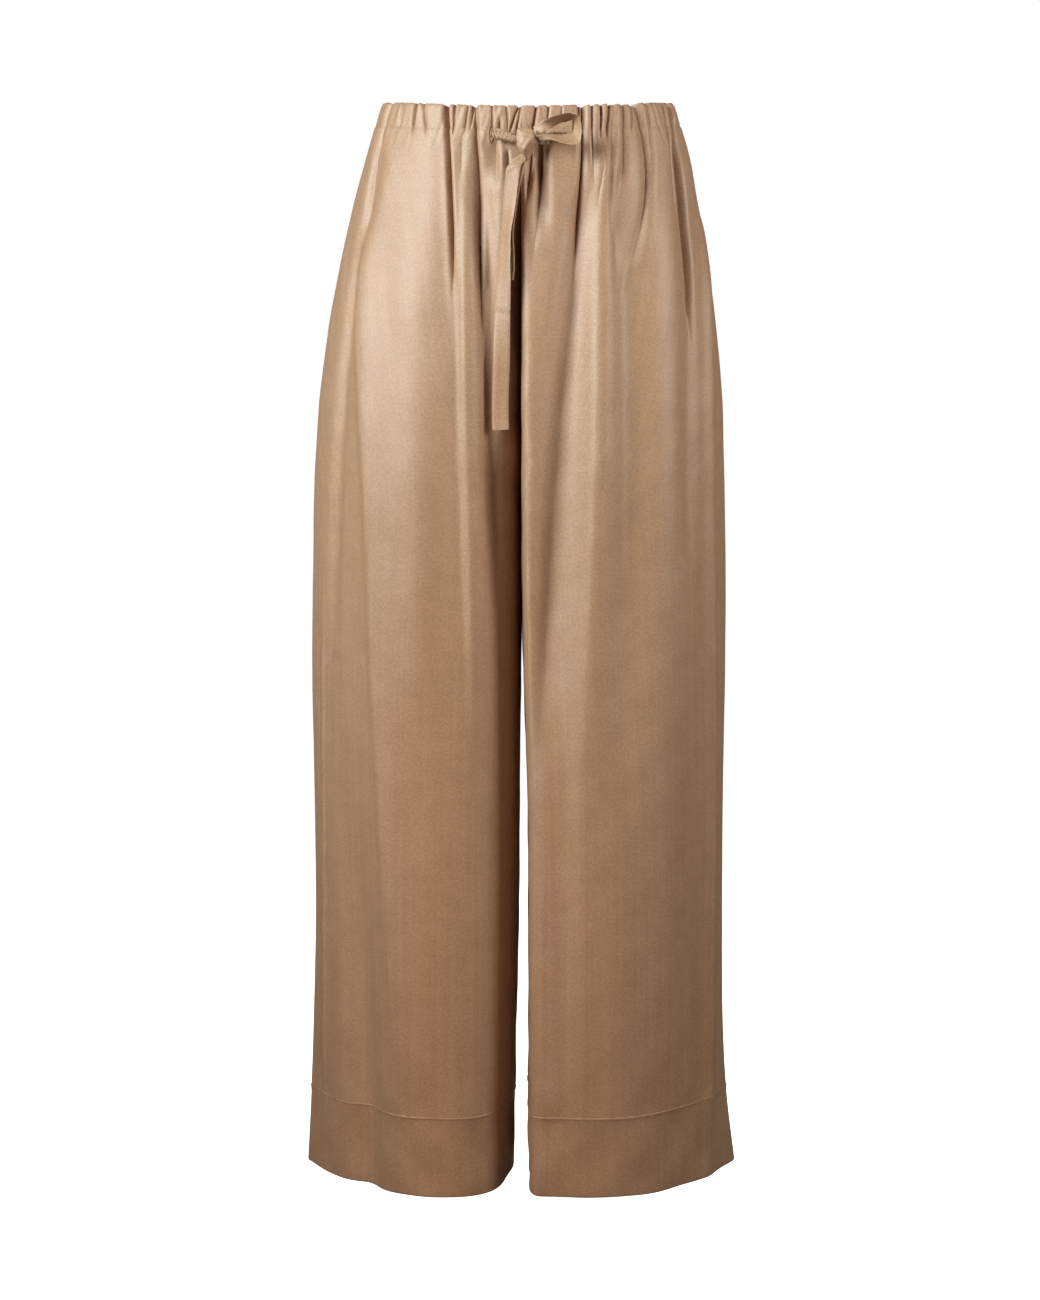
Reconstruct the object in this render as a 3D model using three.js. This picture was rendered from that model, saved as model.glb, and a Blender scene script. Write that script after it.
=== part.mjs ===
// Wide-leg satin trousers in their worn, hollow form: a gathered elastic casing, four leg
// panels, four hem bands and a self-fabric tie that leaves two buttonholes and ends in a bow.
// Millimetres, +Z up, the front faces -Y. The origin is the middle of the waist opening,
// half way up the casing. Left and right are the wearer's, so the right leg is at -X.
import * as THREE from 'three';

// Driving dimensions
const wall = 1.5; // cloth wall of a leg panel
const casingWall = 3; // two layers of cloth over the elastic
const hemWall = 2.2; // hem band, folded double
const hemProud = 0.5; // the doubled hem band stands this far outside the panel
const seamGap = 0.3; // between neighbouring pieces
const casingTop = 12; // top edge of the casing at the side of the waist
const casingFoot = -11; // stitch line under the elastic at the side
const waistDip = 8; // the middle of the front hangs this far below the sides
const dipEnd = -150; // below this level the rows are level again
const crotch = -340; // where the centre seam meets the inside leg seams
const hemSeam = -931; // seam between leg and hem band
const hemEdge = -1008; // lower edge of the hem band
const gathersPerPanel = 17; // gathers of one panel under the elastic, 68 round the waist
const gatherHeight = 2.6; // how far a gather puffs out below the casing
const panelColumns = 32; // columns of a panel below its gathers
const seamQuiet = 12; // folds die away over this width beside a seam
const tieWidth = 15; // the tie pressed flat
const tieThickness = 1.6; // its layers of cloth

const satin = { color: 0xb8936f, roughness: 0.42, metalness: 0 };

const table = (columns, rows) => {
  const names = columns.split(' ');
  return rows.map((row) => Object.fromEntries(row.map((value, i) => [names[i], value])));
};

// Plan of the garment at each level, for the half on either side of the centre line.
// sideRight and sideLeft: reach of the side seams. middle: how far from the centre line the
// front and back stand out most. front and back: that depth. seamFront and seamBack: depth
// of the centre seam, or of the inside leg seam below the crotch. parting: the inner side's
// distance from the centre line. taper: 1 is a round side, 2 a creased one.
const sections = table(
  'z sideRight sideLeft middle front back seamFront seamBack parting taper',
  [
    [12, 131, 143, 1, 97, 97, 97, 97, 0.2, 1.0],
    [-11, 136, 147, 2, 99, 100, 98, 100, 0.2, 1.0],
    [-40, 145, 156, 8, 102, 106, 97, 105, 0.3, 1.0],
    [-80, 157, 164, 22, 106, 114, 87, 112, 0.6, 1.05],
    [-130, 169, 173, 38, 110, 121, 77, 117, 0.9, 1.1],
    [-190, 181, 182, 53, 114, 125, 68, 114, 1.0, 1.2],
    [-260, 191, 189, 66, 117, 126, 50, 96, 1.0, 1.3],
    [-310, 195, 191, 73, 118, 124, 24, 52, 1.0, 1.35],
    [-340, 197, 192, 76, 118, 123, -4, -4, 1.0, 1.4],
    [-420, 199, 194, 79, 116, 119, -4, -4, 1.2, 1.45],
    [-520, 201, 194.5, 80, 114, 116, -4, -4, 2.0, 1.5],
    [-640, 200, 193.5, 80, 112, 113, -4, -4, 3.2, 1.5],
    [-760, 200, 194, 79, 112, 112, -4, -4, 3.7, 1.55],
    [-860, 203, 195.5, 78, 113, 113, -4, -4, 5.5, 1.6],
    [-931, 206, 199.5, 77, 114, 115, -4, -4, 6.8, 1.7],
    [-1008, 210.5, 209, 77, 116, 118, -4, -4, 8.0, 1.8],
  ],
);

// How square the inner corner of each leg is: 2 is round, 5 is a crisp turned edge.
const innerCorner = {
  right: { front: 2.2, back: 2.5 },
  left: { front: 4.6, back: 2.6 },
};

// Folds. A fold gains its strength from top to full and loses it from fading to end. The x
// columns are its distance from the centre line at five levels, height is outwards for a
// ridge and inwards for a trough, and inward and outward are its widths on its two sides.
const foldLevels = [-40, -150, -330, -560, -930];
const folds = table(
  'leg face top full fading end x0 x1 x2 x3 x4 height inward outward',
  [
    ['right', 'front', 5, -60, -380, -560, 137, 163, 181, 186, 188, -4, 8, 8],
    ['right', 'front', 10, -50, -760, -1010, 129, 148, 145, 141, 122, 8, 15, 9],
    ['right', 'front', -520, -900, -1100, -1200, 160, 162, 166, 162, 152, -13, 22, 20],
    ['right', 'front', -80, -200, -460, -640, 98, 100, 100, 98, 90, 4, 22, 22],
    ['right', 'front', 10, -30, -390, -570, 66, 60, 52, 44, 40, 7, 14, 6],
    ['right', 'front', 10, -30, -130, -230, 76, 70, 62, 56, 50, -5, 5, 6],
    ['right', 'front', -5, -60, -330, -450, 40, 35, 32, 28, 26, -6, 7, 9],
    ['left', 'front', -20, -45, -80, -120, 19, 20, 20, 20, 20, -5, 5, 6],
    ['left', 'front', -5, -40, -300, -440, 54, 41, 28, 20, 18, -7, 8, 9],
    ['left', 'front', -10, -50, -560, -780, 75, 62, 59, 49, 50, 7, 13, 9],
    ['left', 'front', -110, -190, -460, -660, 78, 82, 87, 89, 90, -6, 7, 19],
    ['left', 'front', -5, -40, -170, -240, 112, 101, 98, 98, 98, -5, 7, 7],
    ['left', 'front', 5, -40, -400, -560, 140, 146, 152, 154, 154, -5, 7, 11],
    ['left', 'front', -60, -160, -800, -990, 163, 174, 179, 182, 183, 5, 10, 6],
    ['right', 'back', 5, -40, -460, -640, 42, 46, 50, 52, 50, 6, 13, 9],
    ['right', 'back', 5, -40, -330, -500, 66, 72, 76, 78, 76, -6, 9, 11],
    ['right', 'back', 8, -50, -760, -960, 98, 108, 112, 112, 108, 7, 11, 15],
    ['right', 'back', -5, -50, -280, -400, 122, 140, 148, 150, 150, -5, 8, 8],
    ['right', 'back', -60, -160, -900, -1060, 142, 162, 172, 174, 172, 5, 10, 7],
    ['left', 'back', 5, -40, -280, -400, 30, 34, 36, 38, 36, -6, 8, 9],
    ['left', 'back', 5, -40, -660, -840, 58, 64, 66, 66, 62, 7, 15, 10],
    ['left', 'back', -5, -50, -400, -540, 88, 94, 98, 98, 96, -6, 9, 13],
    ['left', 'back', 5, -50, -880, -1060, 114, 127, 134, 136, 138, 7, 13, 9],
    ['left', 'back', -15, -60, -320, -440, 136, 154, 168, 172, 172, -4, 8, 7],
  ],
);

// Levels of a panel's rows: gathered ones just under the casing, plain ones below them.
const gatheredLevels = [casingFoot - seamGap / 2, -18, -34, -58];
const panelLevels = [-90, -130, -180, -235, -285, -318, crotch, -370, -420, -500, -600, -710, -820,
  hemSeam + seamGap / 2];
const hemLevels = [hemSeam - seamGap / 2, -972, hemEdge];
const casingLevels = [casingTop, 5, -4, casingFoot + seamGap / 2];

const smooth = (from, to, value) => {
  const t = Math.min(1, Math.max(0, (value - from) / (to - from)));
  return t * t * (3 - 2 * t);
};

// Cubic through a column of a table, read at level z; the levels run downwards.
function readColumn(levels, values, z) {
  const last = levels.length - 1;
  const i = Math.max(0, Math.min(last - 1, levels.findLastIndex((level) => level >= z)));
  const step = levels[i + 1] - levels[i];
  const t = Math.min(1, Math.max(0, (z - levels[i]) / step));
  const slope = (k) => {
    const a = Math.max(0, k - 1);
    const b = Math.min(last, k + 1);
    return (values[b] - values[a]) / (levels[b] - levels[a]);
  };
  const h00 = 2 * t ** 3 - 3 * t ** 2 + 1;
  const h10 = t ** 3 - 2 * t ** 2 + t;
  const h11 = t ** 3 - t ** 2;
  return h00 * values[i] + (1 - h00) * values[i + 1]
    + step * (h10 * slope(i) + h11 * slope(i + 1));
}

const sectionLevels = sections.map((row) => row.z);
const readSection = (name, z) => readColumn(sectionLevels, sections.map((row) => row[name]), z);

// The plain plan curve of one panel at level z, from its centre or inside leg seam round to
// the side seam, as points with their arc length and outward normals. It is worked out for
// a leg on the +X side and a front or back that faces +depth, and then turned to its place.
const curveSteps = 48;
function panelCurve(leg, face, z) {
  const side = leg === 'right' ? -1 : 1;
  const towards = face === 'front' ? -1 : 1;
  const reach = readSection(leg === 'right' ? 'sideRight' : 'sideLeft', z);
  const middle = readSection('middle', z);
  const depth = readSection(face, z);
  const parting = readSection('parting', z);
  const taper = readSection('taper', z);
  const seamName = face === 'front' ? 'seamFront' : 'seamBack';
  const onInsideLeg = z <= crotch;
  const insideLeg = face === 'front' ? -4 : 4;
  const seam = onInsideLeg ? insideLeg : readSection(seamName, z);
  const square = 2 / innerCorner[leg][face];
  const points = [];
  for (let i = 0; i < curveSteps; i += 1) {
    const turn = (i / curveSteps) * Math.PI / 2;
    points.push([
      middle - (middle - parting) * Math.cos(turn) ** square,
      seam + (depth - seam) * Math.sin(turn) ** square,
    ]);
  }
  for (let i = 0; i <= curveSteps; i += 1) {
    const turn = (i / curveSteps) * Math.PI / 2;
    points.push([
      middle + (reach - middle) * Math.sin(turn),
      depth * Math.max(0, Math.cos(turn)) ** taper,
    ]);
  }
  const lengths = [0];
  for (let i = 1; i < points.length; i += 1) {
    const dx = points[i][0] - points[i - 1][0];
    const dy = points[i][1] - points[i - 1][1];
    lengths.push(lengths[i - 1] + Math.hypot(dx, dy));
  }
  return { side, towards, points, lengths, total: lengths.at(-1), onInsideLeg, depth };
}

// Where a length along the curve falls: its point, and the outward normal there.
function alongCurve(curve, length) {
  const { points, lengths } = curve;
  const clamped = Math.min(curve.total, Math.max(0, length));
  const next = Math.max(1, lengths.findIndex((value) => value >= clamped));
  const t = (clamped - lengths[next - 1]) / Math.max(1e-9, lengths[next] - lengths[next - 1]);
  const mix = (k) => points[next - 1][k] + t * (points[next][k] - points[next - 1][k]);
  const before = points[Math.max(0, next - 2)];
  const after = points[Math.min(points.length - 1, next + 1)];
  const tangent = [after[0] - before[0], after[1] - before[1]];
  const size = Math.hypot(...tangent);
  return { x: mix(0), y: mix(1), nx: -tangent[1] / size, ny: tangent[0] / size };
}

const lengthAtX = (curve, x) => {
  const next = curve.points.findIndex((point) => point[0] >= x);
  if (next < 1) return next === 0 ? 0 : curve.total;
  const t = (x - curve.points[next - 1][0]) / (curve.points[next][0] - curve.points[next - 1][0]);
  return curve.lengths[next - 1] + t * (curve.lengths[next] - curve.lengths[next - 1]);
};

function foldHeight(leg, face, curve, length, z) {
  let height = 0;
  for (const fold of folds) {
    if (fold.leg !== leg || fold.face !== face || z > fold.top || z < fold.end) continue;
    const x = readColumn(foldLevels, [fold.x0, fold.x1, fold.x2, fold.x3, fold.x4], z);
    const away = length - lengthAtX(curve, x);
    const width = away < 0 ? fold.inward : fold.outward;
    const strength = smooth(fold.top, fold.full, z) * smooth(fold.end, fold.fading, z);
    height += fold.height * strength * Math.exp(-((away / width) ** 2));
  }
  return height * smooth(0, seamQuiet, length) * smooth(0, seamQuiet, curve.total - length);
}

// Gathers: the elastic holds the cloth at uneven valleys, closer together at the middle,
// and it puffs out between them.
const uneven = (k, seed) => Math.sin(k * 12.99 + seed * 4.7) * Math.cos(k * 3.1 + seed);
function valleyShare(k, seed) {
  const last = gathersPerPanel;
  const even = k + (k > 0 && k < last ? 0.24 * uneven(k, seed) : 0);
  const share = even / last;
  return 0.64 * share + 0.36 * share * share;
}

// Outward puff of the gathers at each level: pinched at the stitch line, full below it.
const gatherLevels = [12, 4, -4, -11, -20, -34, -58, -85];
const gatherStrength = [0.35, 0.75, 0.7, 0.2, 0.9, 1, 0.55, 0];
const seedOf = (leg, face) => (leg === 'right' ? 1 : 2) + (face === 'front' ? 0 : 2);

function gatherColumns(leg, face) {
  const columns = [];
  for (let k = 0; k < gathersPerPanel; k += 1) {
    const from = valleyShare(k, seedOf(leg, face));
    const to = valleyShare(k + 1, seedOf(leg, face));
    const puff = gatherHeight * (1 + 0.4 * uneven(k, seedOf(leg, face) + 5));
    for (const third of [0, 1, 2]) {
      columns.push({ share: from + (to - from) * (third / 3), puff: third > 0 ? puff : 0 });
    }
  }
  columns.push({ share: 1, puff: 0 });
  return columns;
}

const plainColumns = Array.from({ length: panelColumns + 1 }, (_, i) => (
  { share: i / panelColumns, puff: 0 }));

// One row of a wall: outer and inner points. The rows near the waist dip at the front.
function wallRow(leg, face, z, columns, thickness, proud = 0) {
  const curve = panelCurve(leg, face, z);
  const inset = seamGap / 2;
  const gathered = z > gatherLevels.at(-1) ? readColumn(gatherLevels, gatherStrength, z) : 0;
  const outer = [];
  const inner = [];
  columns.forEach(({ share, puff }, i) => {
    const length = inset + share * (curve.total - 2 * inset);
    const place = alongCurve(curve, length);
    if (i === columns.length - 1) Object.assign(place, { nx: 1, ny: 0 });
    if (i === 0 && curve.onInsideLeg) Object.assign(place, { nx: -1, ny: 0 });
    if (i === 0 && !curve.onInsideLeg) place.nx = Math.min(0, place.nx);
    const free = foldHeight(leg, face, curve, length, z) + puff * gathered + proud;
    const room = place.nx < 0 ? (place.x - inset) / -place.nx : Infinity;
    const rise = Math.min(free, room);
    const frontness = face === 'front' ? Math.max(0, place.y / curve.depth) : 0;
    const dip = waistDip * frontness ** 2 * smooth(dipEnd, casingFoot, z);
    const point = (out) => new THREE.Vector3(
      curve.side * (place.x + place.nx * out),
      curve.towards * (place.y + place.ny * out),
      z - dip,
    );
    outer.push(point(rise));
    inner.push(point(rise - thickness));
  });
  return { shares: columns.map((column) => column.share), outer, inner };
}

// Joins two rows of points by triangles, advancing along whichever row lags behind.
function zip(triangles, upper, upperShares, lower, lowerShares) {
  let i = 0;
  let j = 0;
  while (i < upper.length - 1 || j < lower.length - 1) {
    const upperNext = i < upper.length - 1 ? upperShares[i] + upperShares[i + 1] : Infinity;
    const lowerNext = j < lower.length - 1 ? lowerShares[j] + lowerShares[j + 1] : Infinity;
    if (upperNext < lowerNext) {
      triangles.push([upper[i], lower[j], upper[i + 1]]);
      i += 1;
    } else {
      triangles.push([upper[i], lower[j], lower[j + 1]]);
      j += 1;
    }
  }
}

function meshFrom(name, triangles, look = satin) {
  const positions = triangles.flat().flatMap((point) => point.toArray());
  const geometry = new THREE.BufferGeometry();
  geometry.setAttribute('position', new THREE.Float32BufferAttribute(positions, 3));
  geometry.computeVertexNormals();
  const mesh = new THREE.Mesh(geometry, new THREE.MeshStandardMaterial(look));
  mesh.name = name;
  return mesh;
}

// Closes rows of outer and inner points into one wall. The rows run downwards.
function wallMesh(name, rows, turned) {
  const triangles = [];
  for (let r = 0; r < rows.length - 1; r += 1) {
    const [upper, lower] = [rows[r], rows[r + 1]];
    zip(triangles, upper.outer, upper.shares, lower.outer, lower.shares);
    const inside = [];
    zip(inside, upper.inner, upper.shares, lower.inner, lower.shares);
    triangles.push(...inside.map(([a, b, c]) => [a, c, b]));
    for (const end of [0, -1]) {
      const [a, b] = [upper.outer.at(end), lower.outer.at(end)];
      const [c, d] = [upper.inner.at(end), lower.inner.at(end)];
      const edge = [[a, c, b], [b, c, d]];
      triangles.push(...(end === 0 ? edge : edge.map(([p, q, s]) => [p, s, q])));
    }
  }
  for (const [row, top] of [[rows[0], true], [rows.at(-1), false]]) {
    for (let i = 0; i < row.outer.length - 1; i += 1) {
      const [a, b] = [row.outer[i], row.outer[i + 1]];
      const [c, d] = [row.inner[i], row.inner[i + 1]];
      const edge = [[a, b, c], [b, d, c]];
      triangles.push(...(top ? edge : edge.map(([p, q, s]) => [p, s, q])));
    }
  }
  return meshFrom(name, turned ? triangles.map(([a, b, c]) => [a, c, b]) : triangles);
}

const turnedOver = (leg, face) => (leg === 'left') === (face === 'back');

function legPanel(leg, face) {
  const gathered = gatheredLevels.map((z) => wallRow(leg, face, z, gatherColumns(leg, face), wall));
  const plain = panelLevels.map((z) => wallRow(leg, face, z, plainColumns, wall));
  return wallMesh(`${leg}_${face}_panel`, [...gathered, ...plain], turnedOver(leg, face));
}

function hemBand(leg, face) {
  const rows = hemLevels.map((z) => wallRow(leg, face, z, plainColumns, hemWall, hemProud));
  return wallMesh(`${leg}_${face}_hem`, rows, turnedOver(leg, face));
}

// Half of the casing, from side seam to side seam: the right quarter reversed, then the left.
function casingHalf(face) {
  const rows = casingLevels.map((z) => {
    const right = wallRow('right', face, z, gatherColumns('right', face), casingWall);
    const left = wallRow('left', face, z, gatherColumns('left', face), casingWall);
    const join = (key) => [...[...right[key]].reverse().slice(0, -1), ...left[key]];
    return {
      shares: [...right.shares.map((share) => -share).reverse().slice(0, -1), ...left.shares],
      outer: join('outer'),
      inner: join('inner'),
    };
  });
  return wallMesh(`waist_casing_${face}`, rows, face === 'back');
}

// A flat strip of doubled cloth along a route. Each route row gives a point, the turn of the
// strip's width from +X towards the front, its lean out of the level, and its width share.
function strip(name, route, width = tieWidth, thickness = tieThickness) {
  const rings = route.map(({ x, y, z, turn, lean, share }, i) => {
    const before = route[Math.max(0, i - 1)];
    const after = route[Math.min(route.length - 1, i + 1)];
    const run = new THREE.Vector3(after.x - before.x, after.y - before.y, after.z - before.z);
    const across = new THREE.Vector3(1, 0, 0)
      .applyAxisAngle(new THREE.Vector3(0, 1, 0), -THREE.MathUtils.degToRad(lean))
      .applyAxisAngle(new THREE.Vector3(0, 0, 1), -THREE.MathUtils.degToRad(turn));
    across.addScaledVector(run, -across.dot(run) / run.lengthSq()).normalize();
    const up = new THREE.Vector3().crossVectors(run, across).normalize();
    const half = (width * share) / 2;
    const bevel = thickness / 2;
    const outline = [[-half, 0], [-half + bevel, -bevel], [half - bevel, -bevel], [half, 0],
      [half - bevel, bevel], [-half + bevel, bevel]];
    return outline.map(([u, v]) => new THREE.Vector3(x, y, z)
      .addScaledVector(across, u).addScaledVector(up, v));
  });
  const triangles = [];
  const sides = rings[0].length;
  for (let r = 0; r < rings.length - 1; r += 1) {
    for (let i = 0; i < sides; i += 1) {
      const j = (i + 1) % sides;
      triangles.push([rings[r][i], rings[r][j], rings[r + 1][i]]);
      triangles.push([rings[r][j], rings[r + 1][j], rings[r + 1][i]]);
    }
  }
  for (let i = 1; i < sides - 1; i += 1) {
    triangles.push([rings[0][0], rings[0][i + 1], rings[0][i]]);
    triangles.push([rings.at(-1)[0], rings.at(-1)[i], rings.at(-1)[i + 1]]);
  }
  return meshFrom(name, triangles);
}

// Depth of the front at a point beside the middle, over its folds and its tallest gathers.
// The rows there hang lower by the waist's dip, so the level is read that much higher.
const tallestGather = 1.4;
function frontDepth(x, z) {
  const leg = x < 0 ? 'right' : 'left';
  const level = z + waistDip;
  const curve = panelCurve(leg, 'front', level);
  const length = lengthAtX(curve, Math.abs(x));
  const puff = gatherHeight * tallestGather * readColumn(gatherLevels, gatherStrength, level);
  const place = alongCurve(curve, length);
  return -(place.y + place.ny * (foldHeight(leg, 'front', curve, length, level) + puff));
}

// The tie
const knot = { x: 3.5, y: -115, z: -30, halfWidth: 8, halfDepth: 6.5, halfHeight: 13 };
const buttonholes = { right: -29, left: 40 };
const buttonholeLevel = -27;
const buttonhole = { halfWidth: 3, halfHeight: 9, rim: 1.4, rise: 1.4, clear: 0.8 };

function knotMesh() {
  const geometry = new THREE.SphereGeometry(1, 16, 10);
  geometry.rotateX(Math.PI / 2);
  geometry.scale(knot.halfWidth, knot.halfDepth, knot.halfHeight);
  geometry.rotateY(THREE.MathUtils.degToRad(-8));
  const mesh = new THREE.Mesh(geometry, new THREE.MeshStandardMaterial(satin));
  mesh.name = 'tie_knot';
  mesh.position.set(knot.x, knot.y, knot.z);
  return mesh;
}

// A worked buttonhole: a raised oval rim of stitches that lies on the front.
function buttonholeMesh(leg) {
  const centre = buttonholes[leg];
  const turns = 20;
  const ring = (shrink, out) => Array.from({ length: turns }, (_, i) => {
    const turn = (i / turns) * Math.PI * 2;
    const x = centre + Math.cos(turn) * (buttonhole.halfWidth - shrink);
    const z = buttonholeLevel + Math.sin(turn) * (buttonhole.halfHeight - shrink);
    return new THREE.Vector3(x, frontDepth(x, z) - buttonhole.clear - out, z);
  });
  const loops = [ring(0, 0), ring(0, buttonhole.rise), ring(buttonhole.rim, buttonhole.rise),
    ring(buttonhole.rim, 0)];
  const triangles = [];
  for (let k = 0; k < loops.length; k += 1) {
    const [from, to] = [loops[k], loops[(k + 1) % loops.length]];
    for (let i = 0; i < turns; i += 1) {
      const j = (i + 1) % turns;
      triangles.push([from[i], from[j], to[i]], [from[j], to[j], to[i]]);
    }
  }
  return meshFrom(`buttonhole_${leg}`, triangles, { ...satin, roughness: 0.7 });
}

const routeColumns = 'x y z turn lean share';

// The ruched leads run from the buttonholes to the knot, in front of the gathers.
const leadRoutes = {
  right: table(routeColumns, [
    [-29.5, -105.2, -27, 0, 90, 0.72],
    [-24, -108.8, -27, 0, 90, 0.86],
    [-17, -111.4, -28, 0, 90, 0.8],
    [-10, -113.4, -29.5, 0, 90, 0.74],
    [-5.9, -114.2, -30.3, 0, 90, 0.62],
  ]),
  left: table(routeColumns, [
    [40.5, -104, -27, 0, 90, 0.72],
    [33, -108, -28, 0, 90, 0.84],
    [24, -110.8, -29.5, 0, 90, 0.8],
    [17, -112.6, -31, 0, 90, 0.7],
    [12.1, -113.6, -31.5, 0, 90, 0.6],
  ]),
};

// The bow's single loop: up and out to the left, round its end and back to the knot.
const loopRoute = table(routeColumns, [
  [9.1, -117.5, -21.9, 70, 40, 0.5],
  [17, -121, -17.5, 70, 42, 0.72],
  [26, -122, -12.5, 72, 45, 0.9],
  [36, -122, -9, 75, 45, 1],
  [45, -122, -8.5, 80, 45, 1],
  [52, -122, -11.5, 85, 45, 0.95],
  [54.5, -122, -17.5, 88, 45, 0.9],
  [51, -122, -23.5, 88, 45, 0.95],
  [43, -122, -26.5, 80, 45, 1],
  [33, -122, -27, 75, 45, 0.95],
  [23, -121, -26, 72, 45, 0.85],
  [16.5, -120, -25, 70, 42, 0.65],
  [12.6, -118.4, -25.6, 70, 42, 0.5],
]);

// The free ends hang from the foot of the knot.
const longEndRoute = table(routeColumns, [
  [1.2, -116.6, -42.6, 0, 0, 0.6],
  [-1.5, -118, -49, 0, 0, 0.8],
  [-4.5, -118.5, -58, 6, 0, 0.94],
  [-7, -119, -70, 14, 0, 1],
  [-9.5, -119, -84, 24, 0, 1],
  [-11.5, -118.5, -100, 36, 0, 1],
  [-13, -118, -117, 46, 0, 1],
  [-14.2, -117.5, -134, 50, 0, 1],
  [-15.4, -117, -152, 38, 0, 1],
  [-16.6, -116.8, -168, 22, 0, 1],
  [-17.4, -116.6, -184, 10, 0, 1],
  [-18.2, -116.4, -204, 4, 0, 1],
  [-18.8, -116.2, -226, 0, 0, 1],
  [-19.2, -116, -250, 0, 0, 1],
  [-19.5, -115.8, -270, 0, 0, 1],
  [-19.8, -115.6, -287, 0, 0, 1],
]);
const shortEndRoute = table(routeColumns, [
  [5.4, -113.6, -43.3, 30, 0, 0.56],
  [4.8, -113.2, -48, 42, 0, 0.7],
  [4, -113, -54, 54, 0, 0.8],
  [3, -112.6, -61, 64, 0, 0.86],
  [2, -112.2, -68, 70, 0, 0.9],
  [0.8, -111.8, -76, 74, 0, 0.92],
  [-0.3, -111.4, -84, 76, 0, 0.94],
  [-1.3, -111, -92, 78, 0, 0.95],
  [-2.3, -110.8, -100, 79, 0, 0.95],
  [-3.2, -110.6, -108, 80, 0, 0.95],
  [-4, -110.4, -117, 80, 0, 0.95],
  [-4.7, -110.3, -126, 80, 0, 0.95],
  [-5.2, -110.2, -135, 80, 0, 0.95],
  [-5.6, -110.1, -144, 80, 0, 0.95],
  [-5.9, -110, -154, 80, 0, 0.95],
]);

const trousers = new THREE.Group();
for (const face of ['front', 'back']) {
  trousers.add(casingHalf(face));
  for (const leg of ['right', 'left']) {
    trousers.add(legPanel(leg, face), hemBand(leg, face));
  }
}
for (const leg of ['right', 'left']) {
  trousers.add(buttonholeMesh(leg), strip(`tie_lead_${leg}`, leadRoutes[leg]));
}
trousers.add(
  knotMesh(),
  strip('tie_loop', loopRoute),
  strip('tie_long_end', longEndRoute),
  strip('tie_short_end', shortEndRoute),
);

export default trousers;
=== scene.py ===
import math
import bpy
import numpy as np
from mathutils import Matrix, Vector


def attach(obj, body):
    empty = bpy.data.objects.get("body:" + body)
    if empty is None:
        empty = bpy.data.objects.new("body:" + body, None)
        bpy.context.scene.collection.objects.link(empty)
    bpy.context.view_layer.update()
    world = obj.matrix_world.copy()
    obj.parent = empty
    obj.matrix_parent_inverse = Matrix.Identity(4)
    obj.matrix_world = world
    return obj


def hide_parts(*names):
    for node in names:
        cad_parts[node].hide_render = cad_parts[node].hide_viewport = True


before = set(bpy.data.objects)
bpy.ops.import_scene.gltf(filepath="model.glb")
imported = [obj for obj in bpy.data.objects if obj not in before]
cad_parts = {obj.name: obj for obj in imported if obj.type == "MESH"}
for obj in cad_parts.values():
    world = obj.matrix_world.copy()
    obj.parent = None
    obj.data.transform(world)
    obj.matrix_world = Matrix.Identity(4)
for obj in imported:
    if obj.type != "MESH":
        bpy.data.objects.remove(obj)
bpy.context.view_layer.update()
mm = 0.001
bpy.context.scene.view_settings.view_transform = "Standard"

# Camera: level with the hips, looking slightly down the front.
camera = {
    "place": (-0.002, -2.6, -0.172),
    "pitch": -7.26,
    "lens": 75.6,
    "sensor": 36.0,
}


def addCamera():
    bpy.ops.object.camera_add(
        location=camera["place"], rotation=(math.radians(90 + camera["pitch"]), 0, 0)
    )
    view = bpy.context.object
    view.name = "viewCamera"
    view.data.sensor_width = camera["sensor"]
    view.data.lens = camera["lens"]
    bpy.context.scene.camera = view


addCamera()
print("camera placed")


# Shader maths: a socket that adds its own Math nodes when it is used in an expression.
class Wire:
    def __init__(self, finish, socket):
        self.finish = finish
        self.socket = socket

    def maths(self, operation, first, second):
        return self.finish.add("ShaderNodeMath", {"operation": operation}, {0: first, 1: second})

    def __add__(self, other):
        return self.maths("ADD", self, other)

    def __radd__(self, other):
        return self.maths("ADD", other, self)

    def __sub__(self, other):
        return self.maths("SUBTRACT", self, other)

    def __rsub__(self, other):
        return self.maths("SUBTRACT", other, self)

    def __mul__(self, other):
        return self.maths("MULTIPLY", self, other)

    def __rmul__(self, other):
        return self.maths("MULTIPLY", other, self)


class Finish:
    def __init__(self, owner):
        self.owner = owner
        owner.use_nodes = True
        self.tree = owner.node_tree
        self.tree.nodes.clear()

    # One method adds any node: its settings first, then the values or links of its sockets.
    def add(self, kind, settings=None, inputs=None, output=0):
        node = self.tree.nodes.new(kind)
        for name, value in (settings or {}).items():
            setattr(node, name, value)
        for name, value in (inputs or {}).items():
            if isinstance(value, Wire):
                self.tree.links.new(value.socket, node.inputs[name])
            else:
                node.inputs[name].default_value = value
        return Wire(self, node.outputs[output] if node.outputs else None)

    def mixColour(self, factor, first, second, blend="MIX"):
        # Sockets 6 and 7 are the colour inputs, and output 2 the colour.
        return self.add(
            "ShaderNodeMix",
            {"data_type": "RGBA", "blend_type": blend},
            {0: factor, 6: first, 7: second},
            2,
        )

    def close(self, shader):
        self.add("ShaderNodeOutputMaterial", None, {"Surface": shader})
        return self.owner


satin = {
    "body": (0.326, 0.180, 0.098),
    "pale": (0.430, 0.252, 0.146),
    "roughness": 0.58,
    "roughnessSpread": 0.10,
    "specular": 0.6,
    "gloss": 1.78,  # refractive index, high for the strong broad sheen of satin
    "sheen": 0.08,
    "grain": 480.0,  # specks of the satin, to a metre
    "weave": (2600.0, 900.0),  # floats across and down, to a metre
    "streak": (230.0, 4.0, 1.0),  # faint bars down the cloth
    "patch": 75.0,  # cloudy patches, to a metre
    "toneShares": {"grain": 3.2, "patch": 0.9, "weave": 1.0, "streak": 0.9},
    "grainHeight": 0.6,
}


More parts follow.
